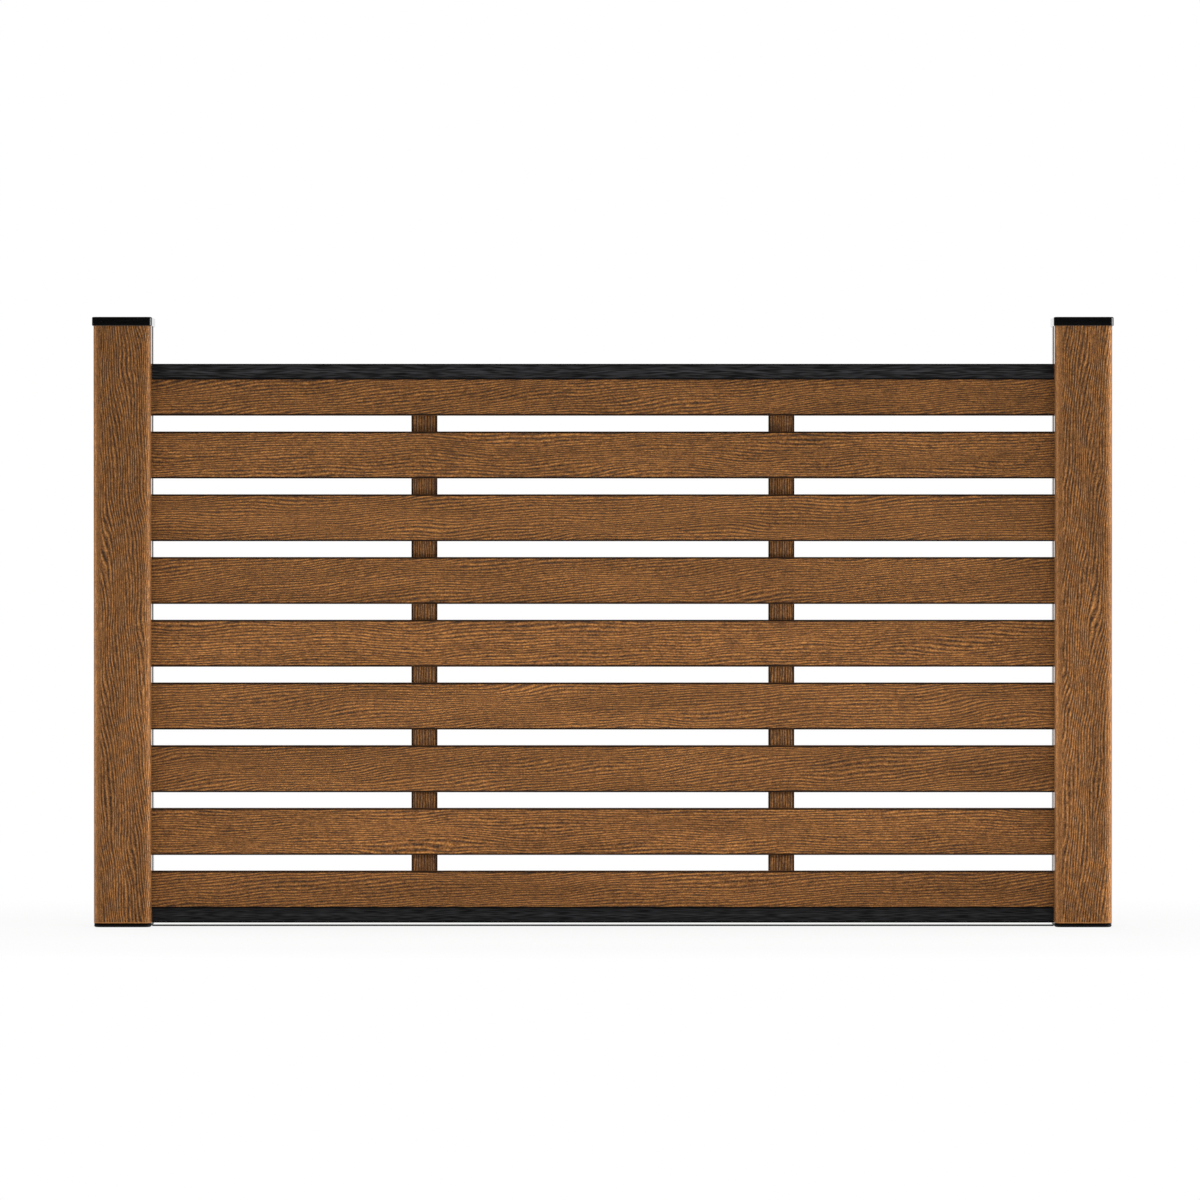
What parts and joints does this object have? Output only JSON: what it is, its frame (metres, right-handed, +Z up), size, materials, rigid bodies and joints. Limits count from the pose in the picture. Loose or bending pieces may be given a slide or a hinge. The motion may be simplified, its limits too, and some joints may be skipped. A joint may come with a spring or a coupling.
{
  "type": "slatted fence panel",
  "caption": "Horizontal slat fence bay in embossed composite wood with black edge rails, square grooved posts, flat caps and bolt-down foot plates.",
  "frame": {"origin": "centre of the left post's foot plate, on its underside at ground level", "axes": "+X along the fence from the left post to the right post, +Y from the front to the back, +Z up"},
  "size_m": [2.125, 0.125, 1.2695],
  "materials": {
    "slat_wood": "embossed wood-grain composite, satin",
    "post_wood": "embossed wood-grain composite, satin",
    "batten_wood": "embossed wood-grain composite, satin",
    "rail_black": "black anodised, faintly brushed",
    "cap_black": "black powder coat, satin",
    "plate_black": "black powder coat, satin",
    "core_steel": "galvanised"
  },
  "bodies": {
    "root": {"left_foot_plate": "plate_black", "right_foot_plate": "plate_black", "ground_tie_bar": "plate_black", "left_post_core": "core_steel", "right_post_core": "core_steel", "left_post": "post_wood", "right_post": "post_wood", "left_groove_cover": "post_wood", "right_groove_cover": "post_wood", "left_post_cap": "cap_black", "right_post_cap": "cap_black", "bottom_rail": "rail_black", "top_rail": "rail_black", "slat_1": "slat_wood", "slat_2": "slat_wood", "slat_3": "slat_wood", "slat_4": "slat_wood", "slat_5": "slat_wood", "slat_6": "slat_wood", "slat_7": "slat_wood", "slat_8": "slat_wood", "slat_9": "slat_wood", "left_batten": "batten_wood", "right_batten": "batten_wood"}
  },
  "joints": []
}
